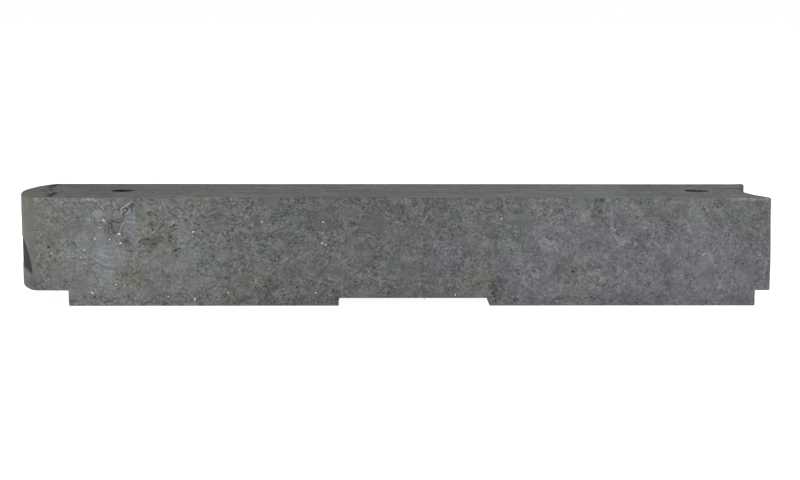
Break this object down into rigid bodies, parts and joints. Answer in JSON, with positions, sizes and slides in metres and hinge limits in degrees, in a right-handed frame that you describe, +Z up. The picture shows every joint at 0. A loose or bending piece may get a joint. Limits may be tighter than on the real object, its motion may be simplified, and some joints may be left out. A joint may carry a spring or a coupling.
{
  "type": "bike lane separator",
  "caption": "Long low block of dark grey recycled plastic that lies on the road and separates a bike lane, with a round nose, a hollow end, anchor holes and drains under it.",
  "frame": {"origin": "on the ground, under the middle of the block's length and width", "axes": "+X along the block towards the hollow end, +Y across it towards the far long face, +Z up"},
  "size_m": [1.83, 0.305, 0.264],
  "materials": {
    "recycled_plastic": "matte"
  },
  "bodies": {
    "root": {"separator": "recycled_plastic"}
  },
  "joints": []
}
